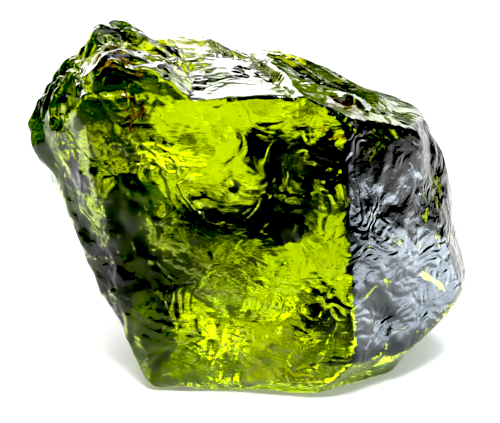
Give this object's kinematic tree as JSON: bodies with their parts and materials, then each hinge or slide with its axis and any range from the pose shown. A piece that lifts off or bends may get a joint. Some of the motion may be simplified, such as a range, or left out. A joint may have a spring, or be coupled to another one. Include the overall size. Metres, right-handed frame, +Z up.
{
  "type": "rough tourmaline",
  "caption": "Rough piece of clear yellow-green tourmaline with broken faces and one flat base to rest on.",
  "frame": {"origin": "under the middle of the stone, on the flat base it rests on", "axes": "+Z up, +X along the longest side towards the right rim, -Y out of the large front face"},
  "size_m": [0.0216, 0.0144, 0.0173],
  "materials": {
    "green_crystal": "glossy, clear yellow-green, broken surface"
  },
  "bodies": {
    "root": {"tourmaline": "green_crystal"}
  },
  "joints": []
}
